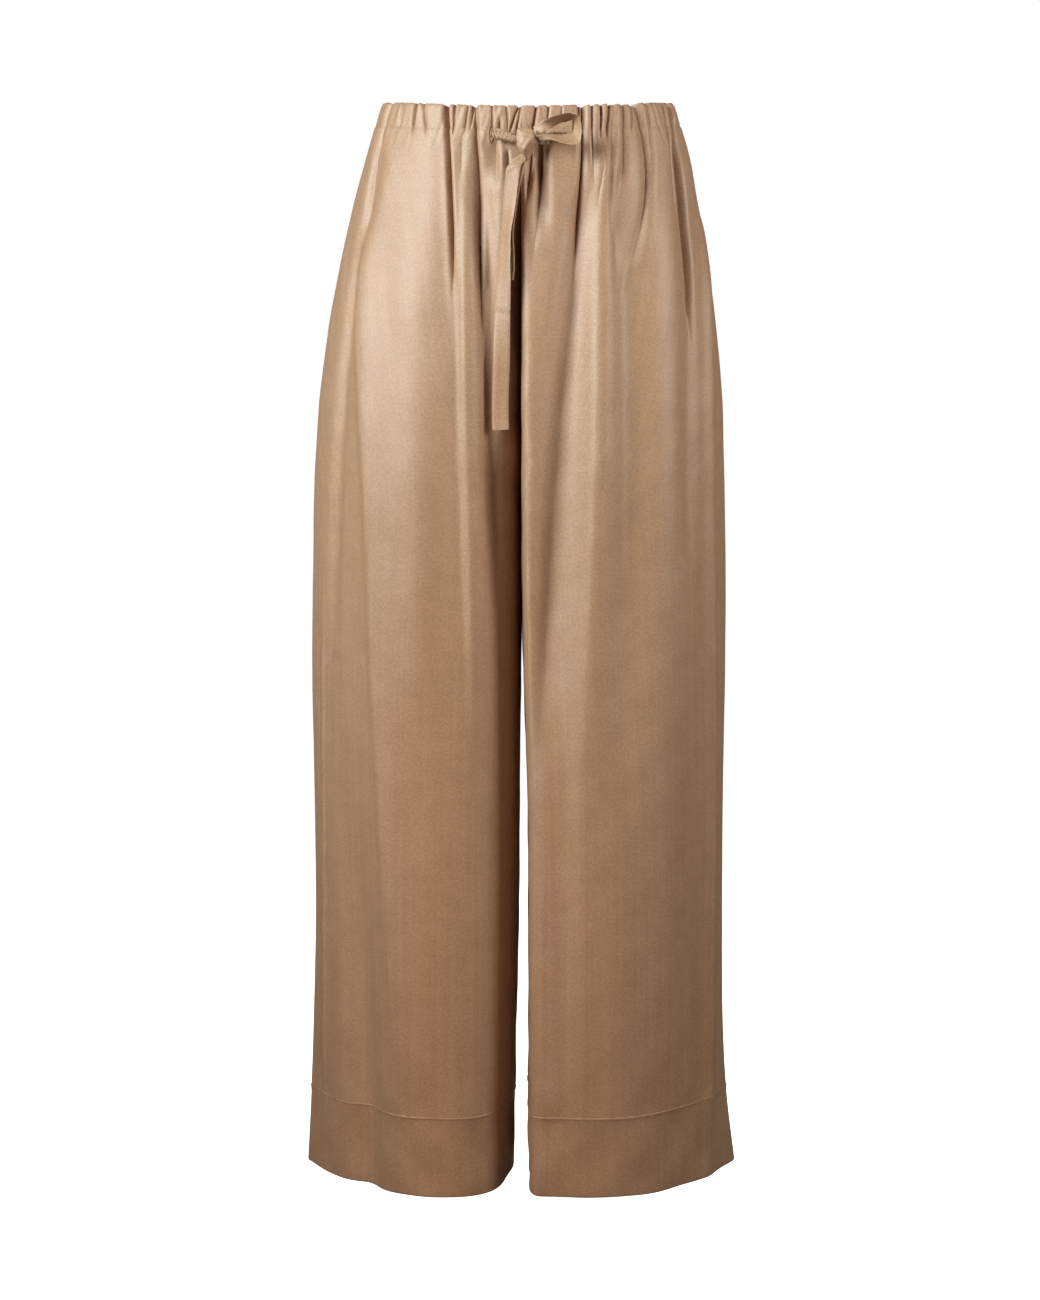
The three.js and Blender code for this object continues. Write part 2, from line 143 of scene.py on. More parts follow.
# Satin on the cloth's own UV map, which is in metres: across and down.
def satinFinish(name, shade=1.0):
    finish = Finish(bpy.data.materials.new(name))
    uv = finish.add("ShaderNodeUVMap", {"uv_map": "cloth"})
    grain = finish.add(
        "ShaderNodeTexNoise", None, {"Vector": uv, "Scale": satin["grain"], "Detail": 4.0}
    )
    patch = finish.add(
        "ShaderNodeTexNoise", None, {"Vector": uv, "Scale": satin["patch"], "Detail": 4.0}
    )
    across, down = satin["weave"]
    weavePlace = finish.add("ShaderNodeMapping", None, {"Vector": uv, "Scale": (across, down, 1)})
    weave = finish.add(
        "ShaderNodeTexNoise", None, {"Vector": weavePlace, "Scale": 1.0, "Detail": 1.0}
    )
    streakPlace = finish.add("ShaderNodeMapping", None, {"Vector": uv, "Scale": satin["streak"]})
    streak = finish.add(
        "ShaderNodeTexNoise", None, {"Vector": streakPlace, "Scale": 1.0, "Detail": 2.0}
    )
    shares = satin["toneShares"]
    tone = 0.5 + (grain - 0.5) * shares["grain"] + (patch - 0.5) * shares["patch"]
    tone = tone + (weave - 0.5) * shares["weave"] + (streak - 0.5) * shares["streak"]
    body = tuple(shade * c for c in satin["body"]) + (1,)
    pale = tuple(shade * c for c in satin["pale"]) + (1,)
    colour = finish.mixColour(tone, body, pale)
    relief = weave * 0.4 + grain * 0.6
    bump = finish.add(
        "ShaderNodeBump",
        None,
        {"Height": relief, "Strength": satin["grainHeight"], "Distance": 0.0002},
    )
    shader = finish.add(
        "ShaderNodeBsdfPrincipled",
        None,
        {
            "Base Color": colour,
            "Roughness": satin["roughness"] + (grain - 0.5) * satin["roughnessSpread"],
            "Specular IOR Level": satin["specular"],
            "Specular Tint": (1.0, 0.92, 0.82, 1),
            "IOR": satin["gloss"],
            "Sheen Weight": satin["sheen"],
            "Sheen Roughness": 0.4,
            "Sheen Tint": (1.0, 0.87, 0.74, 1),
            "Normal": bump,
        },
    )
    return finish.close(shader)


# Sewing thread: twisted, matt, a little darker than the cloth.
def threadFinish():
    finish = Finish(bpy.data.materials.new("threadFinish"))
    place = finish.add("ShaderNodeTexCoord", None, None, 3)
    twist = finish.add("ShaderNodeTexNoise", None, {"Vector": place, "Scale": 1400.0, "Detail": 2.0})
    colour = finish.mixColour(twist, (0.30, 0.175, 0.10, 1), (0.42, 0.26, 0.155, 1))
    bump = finish.add(
        "ShaderNodeBump", None, {"Height": twist, "Strength": 0.4, "Distance": 0.0003}
    )
    shader = finish.add(
        "ShaderNodeBsdfPrincipled",
        None,
        {"Base Color": colour, "Roughness": 0.62 + twist * 0.1, "Normal": bump},
    )
    return finish.close(shader)


clothFinish = satinFinish("satinFinish")
tieFinish = satinFinish("tieSatinFinish", 1.02)
threadMaterial = threadFinish()
print("finishes made")


# The garment's plan, in millimetres, close to the solids' one. Distances of the side seams,
# of the fullest place of front and back, their depths, the seam's depth and the parting.
def table(columns, rows):
    names = columns.split()
    return [dict(zip(names, row)) for row in rows]


casingTop, casingFoot, crotch, hemSeam, hemEdge = 12.0, -11.0, -340.0, -931.0, -1008.0
waistDip, dipEnd = 8.0, -150.0
gatherEnd = -100.0  # the waist's fullness has died away here
seamQuiet = 12  # folds die away over this width beside a seam

sections = table(
    "z right left middle front back seamFront seamBack partingRight partingLeft taper",
    [
        [12, 129, 140, 1, 97, 97, 97, 97, -0.1, -0.1, 1.0],
        [-11, 136, 147, 2, 99, 100, 98, 100, -0.1, -0.1, 1.0],
        [-40, 145, 156, 8, 102, 106, 94, 105, -0.1, -0.1, 1.0],
        [-80, 157, 164, 22, 106, 114, 74, 112, -0.1, -0.1, 1.05],
        [-130, 169, 173, 38, 110, 121, 64, 117, -0.1, -0.1, 1.1],
        [-190, 181, 182, 53, 114, 125, 56, 114, -0.1, -0.1, 1.2],
        [-260, 191, 189, 66, 117, 126, 42, 96, -0.1, -0.1, 1.3],
        [-310, 195, 191, 73, 118, 124, 24, 52, -0.1, -0.1, 1.35],
        [-340, 197, 192, 76, 118, 123, -4, 4, -0.1, -0.1, 1.4],
        [-420, 199, 194, 79, 116, 119, -4, 4, 0.3, 0.4, 1.45],
        [-520, 201, 194.5, 80, 114, 116, -4, 4, 1.4, 2.2, 1.5],
        [-640, 200, 193.5, 80, 112, 113, -4, 4, 2.9, 6.0, 1.5],
        [-760, 200, 194, 79, 112, 112, -4, 4, 3.8, 6.6, 1.55],
        [-860, 203, 195.5, 78, 113, 113, -4, 4, 6.0, 7.0, 1.6],
        [-931, 206, 199.5, 77, 114, 115, -4, 4, 8.0, 7.2, 1.7],
        [-1008, 210.5, 209, 77, 116, 118, -4, 4, 9.6, 7.6, 1.8],
    ],
)
innerCorner = {
    ("right", "front"): 2.8,
    ("right", "back"): 2.5,
    ("left", "front"): 14,
    ("left", "back"): 2.6,
}

# Folds: strength from top to full and from fading to end, distance from the centre line at
# five levels, height, and the widths on the inward and outward sides.
foldLevels = [-40, -150, -330, -560, -930]
folds = table(
    "leg face top full fading end x0 x1 x2 x3 x4 height inward outward",
    [
        ["right", "front", 5, -60, -380, -560, 130, 154, 173, 180, 183, -5.5, 12, 9],
        ["right", "front", 10, -50, -760, -1010, 127, 143, 139, 133, 114, 3.5, 20, 20],
        ["right", "front", -90, -170, -700, -980, 140, 147, 139, 131, 113, 5, 30, 8],
        ["right", "front", -400, -560, -840, -990, 188, 188, 188, 188, 191, 2, 3, 5],
        ["right", "front", -520, -900, -1100, -1200, 160, 162, 166, 162, 152, -13, 22, 20],
        ["right", "front", -80, -200, -460, -640, 98, 100, 100, 98, 90, 4, 22, 22],
        ["right", "front", -40, -180, -390, -620, 50, 52, 50, 45, 42, 5.5, 15, 5.2],
        ["right", "front", 10, -30, -130, -230, 73, 70, 62, 56, 50, -1.5, 6, 9],
        ["right", "front", -15, -80, -300, -500, 37, 29.5, 28, 20, 18, -8, 9, 10],
        ["left", "front", -20, -45, -80, -120, 19, 20, 20, 20, 20, -5, 5, 6],
        ["left", "front", -25, -110, -440, -640, 61, 48.5, 31.5, 18, 12, -14, 13, 26],
        ["left", "front", -10, -50, -380, -640, 76, 70, 67, 60, 57, 7.5, 12, 20],
        ["left", "front", -380, -600, -760, -1040, 60, 60, 60, 59, 56, 6, 14, 38],
        ["left", "front", -50, -150, -400, -680, 92, 96, 99, 96, 92, -9, 18, 26],
        ["left", "front", -150, -260, -500, -640, 5, 5, 5.5, 8, 12, 3.4, 3.5, 9],
        ["left", "front", -60, -150, -760, -1000, 126, 128, 130, 132, 134, 2, 20, 20],
        ["left", "front", 5, -40, -310, -450, 143, 152, 154, 154, 154, -4, 12, 10],
        ["left", "front", -60, -160, -860, -1060, 161, 171, 175, 179, 180, 5, 10, 9],
        ["right", "back", 5, -40, -460, -640, 42, 46, 50, 52, 50, 6, 13, 9],
        ["right", "back", 5, -40, -330, -500, 66, 72, 76, 78, 76, -6, 9, 11],
        ["right", "back", 8, -50, -760, -960, 98, 108, 112, 112, 108, 7, 11, 15],
        ["right", "back", -5, -50, -280, -400, 122, 140, 148, 150, 150, -5, 8, 8],
        ["right", "back", -60, -160, -900, -1060, 142, 162, 172, 174, 172, 5, 10, 7],
        ["left", "back", 5, -40, -280, -400, 30, 34, 36, 38, 36, -6, 8, 9],
        ["left", "back", 5, -40, -660, -840, 58, 64, 66, 66, 62, 7, 15, 10],
        ["left", "back", -5, -50, -400, -540, 88, 94, 98, 98, 96, -6, 9, 13],
        ["left", "back", 5, -50, -880, -1060, 114, 127, 134, 136, 138, 7, 13, 9],
        ["left", "back", -15, -60, -320, -440, 136, 154, 168, 172, 172, -4, 8, 7],
    ],
)


def smoothStep(start, stop, value):
    t = np.clip((value - start) / (stop - start), 0, 1)
    return t * t * (3 - 2 * t)


def readColumn(levels, values, z):
    last = len(levels) - 1
    above = [k for k, level in enumerate(levels) if level >= z]
    i = max(0, min(last - 1, above[-1] if above else 0))
    step = levels[i + 1] - levels[i]
    t = min(1.0, max(0.0, (z - levels[i]) / step))

    def slope(k):
        a, b = max(0, k - 1), min(last, k + 1)
        return (values[b] - values[a]) / (levels[b] - levels[a])

    h00 = 2 * t**3 - 3 * t**2 + 1
    h10 = t**3 - 2 * t**2 + t
    h11 = t**3 - t**2
    return h00 * values[i] + (1 - h00) * values[i + 1] + step * (h10 * slope(i) + h11 * slope(i + 1))


sectionLevels = [row["z"] for row in sections]


def readSection(name, z):
    return readColumn(sectionLevels, [row[name] for row in sections], z)


curveSteps = 90


# Plan curve of a panel at one level: points, lengths and outward normals, for +X and +depth.
def panelCurve(leg, face, z):
    reach = readSection(leg, z)
    middle = readSection("middle", z)
    depth = readSection(face, z)
    parting = readSection("parting" + leg.title(), z)
    taper = readSection("taper", z)
    seam = readSection("seamFront" if face == "front" else "seamBack", z)
    square = 2 / innerCorner[leg, face]
    turn = np.arange(curveSteps) / curveSteps * np.pi / 2
    x = np.append(
        middle - (middle - parting) * np.cos(turn) ** square,
        middle + (reach - middle) * np.sin(np.append(turn, np.pi / 2)),
    )
    y = np.append(
        seam + (depth - seam) * np.sin(turn) ** square,
        depth * np.clip(np.cos(np.append(turn, np.pi / 2)), 0, 1) ** taper,
    )
    lengths = np.append(0, np.cumsum(np.hypot(np.diff(x), np.diff(y))))
    tx, ty = np.gradient(x), np.gradient(y)
    size = np.hypot(tx, ty)
    return {
        "x": x, "y": y, "lengths": lengths, "total": lengths[-1], "depth": depth,
        "nx": -ty / size, "ny": tx / size,
    }


def foldHeight(leg, face, curve, length, z):
    height = np.zeros_like(length)
    for fold in folds:
        if (fold["leg"], fold["face"]) != (leg, face) or not fold["end"] <= z <= fold["top"]:
            continue
        x = readColumn(foldLevels, [fold[f"x{k}"] for k in range(5)], z)
        away = length - np.interp(x, curve["x"], curve["lengths"])
        width = np.where(away < 0, fold["inward"], fold["outward"])
        strength = smoothStep(fold["top"], fold["full"], z)
        strength = strength * smoothStep(fold["end"], fold["fading"], z)
        height += fold["height"] * strength * np.exp(-((away / width) ** 2))
    quiet = smoothStep(0, seamQuiet, length) * smoothStep(0, seamQuiet, curve["total"] - length)
    return height * quiet


# Tucks of the gathered waist: narrow valleys, given one by one. A row gives the levels where a tuck
# starts and ends, its distance from the centre line at the start, middle and end, its depth,
# and the widths of its inward and outward walls.
tucks = table(
    "leg face start end x0 x1 x2 depth inward outward",
    [
        ["right", "front", 12, -130, 121, 138, 148, 3.3, 4.8, 3.3],
        ["right", "front", 12, -20, 96, 98, 100, 4.1, 1.3, 1.5],
        ["right", "front", 12, -22, 89, 87, 86, 2.8, 1.3, 1.8],
        ["right", "front", 12, -180, 68.4, 64.4, 61, 9, 1.7, 2.1],
        ["right", "front", -8, -170, 66.8, 64.2, 61.4, 4, 1.5, 1.5],
        ["right", "front", 12, -22, 60.5, 61.5, 63, 3.5, 1.2, 1.2],
        ["right", "front", 12, -18, 64.5, 64, 63.5, 1.6, 1.3, 1.3],
        ["right", "front", 12, -20, 48.5, 50.5, 53, 2.6, 1.1, 1.4],
        ["right", "front", 12, -16, 44, 45.5, 47.5, 2.8, 1.1, 1.3],
        ["right", "front", -6, -66, 53.5, 54.5, 56, 1.5, 3, 3],
        ["right", "front", 12, -70, 42.3, 41, 39.6, 5, 2.2, 2.2],
        ["right", "front", -20, -250, 41, 38, 35.2, 8, 2.8, 4.4],
        ["right", "front", 12, -20, 27, 27, 26.5, 2.4, 1.1, 1.1],
        ["right", "front", 3, -26, 20.3, 20.8, 21.5, 3.5, 1.4, 1.4],
        ["right", "front", 12, -26, 14.8, 13, 16, 2.6, 1.1, 1.3],
        ["right", "front", 12, -26, 3.4, 9.8, 13.2, 4.3, 1.4, 1.2],
        ["right", "front", 12, -26, 1.2, 4.6, 7.6, 3.2, 1.2, 1.2],
        ["right", "front", 12, -16, 108, 110, 112, 1.6, 1.5, 1.5],
        ["right", "front", -24, -62, 17.6, 18, 19, -1.8, 4, 4],
        ["right", "front", -26, -52, 12.8, 12.4, 12.2, 3, 1.2, 1.6],
        ["left", "front", 12, -26, 12.7, 9.9, 6.6, 4.9, 1.4, 1.3],
        ["left", "front", 12, -16, 23.7, 22.6, 21.5, 3.2, 1.3, 1.3],
        ["left", "front", 12, -10, 35.6, 35, 34.4, 2.2, 1.2, 1.2],
        ["left", "front", 12, -26, 51.2, 50.4, 48.4, 3.9, 1.4, 1.2],
        ["left", "front", 8, -26, 46.8, 45.8, 44.6, 2.6, 1.1, 1.1],
        ["left", "front", 12, -64, 63.2, 63.4, 66, 3.6, 1.5, 2],
        ["left", "front", 12, -27, 71.4, 71.3, 70.2, 4.3, 1.2, 1.2],
        ["left", "front", 12, -30, 78.8, 76.8, 75.2, 4.3, 1.4, 1.9],
        ["left", "front", 12, -120, 83, 79, 83, 2.8, 2.2, 3.2],
        ["left", "front", -22, -95, 73.4, 71, 67.4, 1.1, 1.1, 1.1],
        ["left", "front", 12, -80, 91.5, 91, 88, 3.6, 2.4, 3.6],
        ["left", "front", 12, -22, 100.5, 99.6, 98.6, 2, 1.5, 1.5],
        ["left", "front", 12, -190, 102.5, 113, 80, 5.6, 6, 3.4],
        ["left", "front", 12, -64, 112.5, 117, 117.5, 2.2, 2.2, 2.6],
        ["left", "front", 12, -105, 127.5, 138.5, 143, 2.8, 1.6, 1.6],
        ["left", "front", 12, -230, 135, 152, 156, 10, 2.8, 2.4],
        ["left", "front", 12, -170, 54.6, 52.6, 44, 6.5, 2.6, 2.6],
        ["left", "front", -14, -140, 20.6, 15.6, 8.5, 6.5, 4.6, 3],
        ["left", "front", -8, -70, 20.5, 19, 17, 7, 12, 2.2],
        ["left", "front", -22, -84, 9.2, 6.6, 2, 7, 2.4, 2.2],
        ["right", "front", -14, -70, 23, 22.6, 22.4, 5, 1.6, 11],
        ["left", "front", -10, -180, 89, 86, 87, 3.2, 7, 7],
        ["right", "back", 12, -60, 6, 8, 10, 3, 1.8, 2.2],
        ["right", "back", 12, -26, 17, 18, 18, 3.5, 1.2, 1.3],
        ["right", "back", 12, -170, 29, 31, 36, 5.6, 3.1, 2.4],
        ["right", "back", 12, -22, 38, 37, 37, 2.4, 1.2, 1.2],
        ["right", "back", 12, -16, 46, 48, 49, 3.8, 1.4, 1.3],
        ["right", "back", 12, -230, 57, 61, 66, 6.3, 2.6, 3.5],
        ["right", "back", 12, -20, 68, 67, 67, 2.3, 1.1, 1.3],
        ["right", "back", 12, -48, 77, 79, 82, 3, 1.7, 2.2],
        ["right", "back", 12, -24, 88, 88, 89, 3.5, 1.3, 1.2],
        ["right", "back", 12, -120, 97, 104, 110, 3.2, 2.4, 2],
        ["right", "back", 12, -22, 108, 109, 110, 2, 1.4, 1.4],
        ["right", "back", 12, -190, 119, 133, 142, 4.6, 2.4, 2.9],
        ["right", "back", 12, -30, 126, 128, 130, 2.4, 1.5, 1.5],
        ["left", "back", 12, -32, 4, 6, 8, 2.7, 1.3, 1.3],
        ["left", "back", 12, -120, 13, 17, 20, 3.8, 2, 2.6],
        ["left", "back", 12, -24, 25, 25, 26, 3, 1.2, 1.2],
        ["left", "back", 12, -26, 35, 35, 37, 3, 1.6, 2],
        ["left", "back", 12, -210, 45, 47, 50, 5.9, 3.6, 2.4],
        ["left", "back", 12, -22, 54, 55, 55, 2.3, 1.1, 1.2],
        ["left", "back", 12, -28, 63, 64, 65, 3.8, 1.3, 1.3],
        ["left", "back", 12, -150, 74, 79, 84, 4.6, 2.6, 3.3],
        ["left", "back", 12, -24, 84, 85, 86, 2.8, 1.3, 1.3],
        ["left", "back", 12, -60, 95, 99, 103, 3, 2, 2],
        ["left", "back", 12, -240, 106, 118, 128, 5.3, 2.6, 3.3],
        ["left", "back", 12, -26, 121, 123, 125, 2.6, 1.4, 1.4],
        ["left", "back", 12, -90, 132, 141, 147, 2.5, 2, 2.4],
    ],
)


# A tuck's wall is steeper than a fold's, and the cloth swells a little beside its steep wall.
tuckShape = {"sharpness": 1.4, "lipPlace": 2.6, "lipWidth": 1.5, "lipHeight": 0.06}


def tuckHeight(leg, face, curve, length, z):
    height = np.zeros_like(length)
    for tuck in tucks:
        if (tuck["leg"], tuck["face"]) != (leg, face) or not tuck["end"] <= z <= tuck["start"]:
            continue
        t = (tuck["start"] - z) / (tuck["start"] - tuck["end"])
        x = (1 - t) * (1 - 2 * t) * tuck["x0"] + 4 * t * (1 - t) * tuck["x1"]
        x += t * (2 * t - 1) * tuck["x2"]
        away = length - np.interp(x, curve["x"], curve["lengths"])
        width = np.where(away < 0, tuck["inward"], tuck["outward"])
        strength = 1 - smoothStep(0.5, 1, t)
        if tuck["start"] < casingTop:
            strength *= smoothStep(0, 0.3, t)
        valley = np.exp(-((np.abs(away) / width) ** tuckShape["sharpness"]))
        height -= tuck["depth"] * strength * valley
        steep = min(tuck["inward"], tuck["outward"])
        side = -1 if tuck["inward"] <= tuck["outward"] else 1
        lip = (away - side * tuckShape["lipPlace"] * steep) / (tuckShape["lipWidth"] * steep)
        height += tuckShape["lipHeight"] * tuck["depth"] * strength * np.exp(-(lip**2))
    return height


# Soft uneven waves of the cloth, told by their distance from the side seam: a few seeded
# waves across that sway and drift on their way down.
def ripples(fromSide, z, seed, spans, height):
    chance = np.random.default_rng(seed)
    total = np.zeros_like(fromSide)
    for _ in range(7):
        span = chance.uniform(*spans)
        drift = chance.uniform(-0.05, 0.05)
        phase = chance.uniform(0, 6.28)
        bend = chance.uniform(110, 280)
        sway = math.sin(z / bend + phase * 2)
        total += np.sin((fromSide + drift * z) * 6.28 / span + phase + 1.3 * sway)
    return total * height / 7


cloth = {
    "columns": {"front": 258, "back": 190},
    "gathered": 1.5,  # how far the gathered waist stands out all along
    "groove": 0.5,
    "grooveWidth": 1.6,
    "wave": (48, 120),
    "waveHeight": 0.8,
    "crimp": (5, 12),
    "crimpHeight": 0.5,
    "crimpEnd": -44,
    "dents": 0.35,
    "hemDents": 0.7,
    "pinch": 0.1,  # how deep the elastic's lower stitching pulls the cloth in
    "pinchWidth": 2.6,
    "crossing": 0.12,  # a fold may pass the centre line by this
}


# Soft dents that come and go both ways.
def dents(fromSide, z, seed):
    a = np.sin(fromSide / 11 + z / 23 + seed) * math.sin(z / 17 + 2.3 * seed)
    b = np.sin(fromSide / 19 - z / 31 + 1.7 * seed) * math.cos(z / 26 + seed)
    return a + b


def seedOf(leg, face):
    return (1 if leg == "right" else 2) + (0 if face == "front" else 2)


def clothRow(leg, face, z, fine=1):
    side = -1 if leg == "right" else 1
    towards = -1 if face == "front" else 1
    seed = seedOf(leg, face)
    curve = panelCurve(leg, face, z)
    length = np.linspace(0, 1, fine * cloth["columns"][face]) * curve["total"]
    place = {key: np.interp(length, curve["lengths"], curve[key]) for key in ("x", "y", "nx", "ny")}
    place["nx"][-1], place["ny"][-1] = 1, 0
    if z <= crotch:
        place["nx"][0], place["ny"][0] = -1, 0
    else:
        place["nx"][0] = min(0, place["nx"][0])
    fromSide = curve["total"] - length
    edge = np.minimum(length, fromSide)
    calm = smoothStep(0, 10, edge)
    gathered = 1 - smoothStep(casingFoot, gatherEnd, z)
    rise = foldHeight(leg, face, curve, length, z) + tuckHeight(leg, face, curve, length, z)
    rise += cloth["gathered"] * gathered
    rise += calm * ripples(fromSide, z, seed, cloth["wave"], cloth["waveHeight"]) * (1 - gathered)
    inHem = smoothStep(hemSeam + 40, hemSeam - 10, z)
    dentHeight = cloth["dents"] * (1 - gathered) + cloth["hemDents"] * inHem
    rise += calm * dentHeight * dents(fromSide, z, seed)
    crimped = 1 - smoothStep(-2, cloth["crimpEnd"], z)
    rise += calm * ripples(fromSide, z * 1.6, seed + 20, cloth["crimp"], cloth["crimpHeight"]) * crimped
    uneven = 0.65 + 0.35 * np.sin(length * 0.21 + seed * 2.1) * np.sin(length * 0.083 + seed)
    rise -= cloth["pinch"] * uneven * math.exp(-(((z - casingFoot) / cloth["pinchWidth"]) ** 2))
    rise -= cloth["groove"] * np.exp(-((edge / cloth["grooveWidth"]) ** 2))
    inwards = np.maximum(1e-6, -place["nx"])
    room = np.where(place["nx"] < -1e-6, (place["x"] + cloth["crossing"]) / inwards, 1e6)
    rise = np.minimum(rise, room)
    frontness = np.clip(place["y"] / curve["depth"], 0, 1) if face == "front" else 0 * length
    dip = waistDip * frontness**2 * smoothStep(dipEnd, casingFoot, z)
    return {
        "x": place["x"], "y": place["y"], "nx": place["nx"], "ny": place["ny"], "rise": rise,
        "z": z - dip, "length": length, "side": side, "towards": towards,
    }


# A point of the cloth, moved out by some millimetres and up by some.
def rowPoints(row, out=0.0, up=0.0):
    rise = row["rise"] + out
    return np.stack(
        [
            row["side"] * (row["x"] + row["nx"] * rise),
            row["towards"] * (row["y"] + row["ny"] * rise),
            row["z"] + up,
        ],
        axis=1,
    )


def makeActive(piece):
    bpy.ops.object.select_all(action="DESELECT")
    piece.select_set(True)
    bpy.context.view_layer.objects.active = piece


# A piece from its points and faces, with a UV map in metres.
def makePiece(name, points, faces, uvs):
    mesh = bpy.data.meshes.new(name)
    mesh.from_pydata((points.reshape(-1, 3) * mm).tolist(), [], faces)
    layer = mesh.uv_layers.new(name="cloth")
    corner = np.zeros(len(mesh.loops), np.int64)
    mesh.loops.foreach_get("vertex_index", corner)
    layer.data.foreach_set("uv", (uvs.reshape(-1, 2) * mm)[corner].ravel())
    piece = bpy.data.objects.new(name, mesh)
    bpy.context.scene.collection.objects.link(piece)
    return piece


def gridMesh(name, points, uvs, flip, closed=False):
    rows, columns = points.shape[:2]
    index = np.arange(rows * columns).reshape(rows, columns)
    if closed:
        index = np.vstack([index, index[:1]])
    a, b = index[:-1, :-1].ravel(), index[:-1, 1:].ravel()
    c, d = index[1:, 1:].ravel(), index[1:, :-1].ravel()
    faces = np.stack([a, b, c, d] if flip else [a, d, c, b], axis=1).tolist()
    if closed:  # the ends of the band are closed at the side seams
        first, last = index[:-1, 0].tolist(), index[:-1, -1].tolist()
        faces += [first, last[::-1]] if flip else [first[::-1], last]
    piece = makePiece(name, points, faces, uvs)
    piece.data.validate()
    piece.data.shade_smooth()
    return piece


def finishPiece(piece, material, nodes):
    piece.data.materials.clear()
    piece.data.materials.append(material)
    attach(piece, "root")
    if nodes:
        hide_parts(*nodes)
    return piece


def applyModifier(piece, kind, **settings):
    makeActive(piece)
    modifier = piece.modifiers.new(kind.title(), kind)
    for name, value in settings.items():
        setattr(modifier, name, value)
    bpy.ops.object.modifier_apply(modifier=modifier.name)


# The tie's two free ends, each a flat strip of doubled satin. A route row gives a point, the
# turn of the strip's width from +X towards the front, its lean, and its share of the width.
tie = {
    "width": 15.0,
    "thickness": 1.6,
    "steps": 6,  # rings from one row of a route to the next
    "roundness": 6,
    "edgeWave": 0.12,
    "creaseWidth": 1.6,
    "cup": 0.35,  # how much the middle of the strip bows
}
routeColumns = "x y z turn lean share"
longEndRoute = table(
    routeColumns,
    [
        [1.4, -115.6, -42.6, 0, 0, 0.5],
        [-4.2, -117.4, -47, 6, 0, 0.66],
        [-8.2, -117.6, -54, 22, 0, 0.84],
        [-9.6, -116.8, -66, 32, 0, 0.92],
        [-11.2, -116, -80, 36, 0, 0.97],
        [-13.1, -115.8, -98, 49, 0, 1],
        [-14.6, -115.8, -109, 52, 0, 1],
        [-15.4, -115.8, -122, 47, 0, 1],
        [-16, -115.6, -138, 44, 0, 1],
        [-16.5, -115.2, -152, 35, 0, 1],
        [-17.2, -114.6, -168, 27, 0, 1],
        [-17.9, -114, -188, 20, 0, 1],
        [-18.5, -113.4, -214, 6, 0, 1],
        [-19.3, -112.8, -242, -4, 0, 1],
        [-20, -112.6, -268, 0, 0, 1],
        [-19.4, -112.6, -287, 4, 0, 1],
    ],
)
shortEndRoute = table(
    routeColumns,
    [
        [4.2, -111.4, -43.3, 60, 0, 0.5],
        [1.4, -111.2, -47, 74, 0, 0.62],
        [-0.4, -110.8, -52, 80, 0, 0.72],
        [-1.6, -110.4, -60, 84, 0, 0.8],
        [-2.8, -110.2, -68, 86, 0, 0.86],
        [-4.4, -110.2, -77, 86, 0, 0.9],
        [-6, -110.4, -88, 86, 0, 0.92],
        [-7.4, -110.6, -98, 86, 0, 0.94],
        [-8.6, -110.8, -107, 87, 0, 0.95],
        [-8.6, -111, -116, 87, 0, 0.95],
        [-8.1, -111, -125, 87, 0, 0.95],
        [-7.8, -111, -133, 86, 0, 0.95],
        [-8, -111, -142, 86, 0, 0.95],
        [-8.8, -111, -152, 86, 0, 0.95],
    ],
)
# The loop by its two edges: outer point, inner point.
loopEdges = table(
    "x y z innerX innerY innerZ",
    [
        [9.6, -113.5, -16.6, 16.6, -119.5, -22.2],
        [16, -117.5, -11.9, 21.6, -118.5, -19.4],
        [24.4, -123.5, -8.3, 27.6, -112, -15.8],
        [31.8, -125, -6, 33.6, -111, -12.4],
        [39, -125, -4, 40, -111, -11],
        [45.4, -124, -4.4, 44, -111.4, -9.6],
        [51, -122, -7.8, 46.8, -112.2, -11],
        [53.2, -120.5, -15.8, 47.4, -112.2, -16.8],
        [53, -120.5, -25.1, 45.4, -112.2, -20.7],
        [50.4, -121.5, -31.3, 40, -112.4, -22.4],
        [42.2, -122, -32.6, 34.9, -112.6, -23.3],
        [34, -121.5, -30.5, 27.2, -113.6, -22.7],
        [25.4, -118.5, -28, 19, -117, -22.5],
        [17.2, -115.5, -28.6, 12, -119, -23.8],
    ],
)
leadRoutes = {
    "right": table(
        routeColumns,
        [
            [-28.2, -106, -20.6, 0, 90, 0.6],
            [-22.4, -109.6, -21.8, 0, 88, 0.66],
            [-16.4, -111.8, -23.4, 0, 84, 0.6],
            [-10.4, -113.2, -25.4, 0, 80, 0.52],
            [-5.2, -114, -27, 0, 78, 0.44],
        ],
    ),
    "left": table(
        routeColumns,
        [
            [40.5, -105, -24, 0, 90, 0.5],
            [33, -107, -24.6, 0, 90, 0.6],
            [24, -109, -25.6, 0, 90, 0.6],
            [17, -111, -27, 0, 90, 0.6],
            [12.1, -112.6, -28, 0, 90, 0.55],
        ],
    ),
}


def denseRoute(route, steps):
    rows = np.array([list(row.values()) for row in route], float)
    before = np.vstack([2 * rows[0] - rows[1], rows[:-1]])
    after = np.vstack([rows[1:], 2 * rows[-1] - rows[-2]])
    slopes = (after - before) / 2
    dense = []
    for i in range(len(rows) - 1):
        for j in range(steps):
            t = j / steps
            dense.append(
                (2 * t**3 - 3 * t**2 + 1) * rows[i]
                + (t**3 - 2 * t**2 + t) * slopes[i]
                + (3 * t**2 - 2 * t**3) * rows[i + 1]
                + (t**3 - t**2) * slopes[i + 1]
            )
    dense.append(rows[-1])
    return np.array(dense)


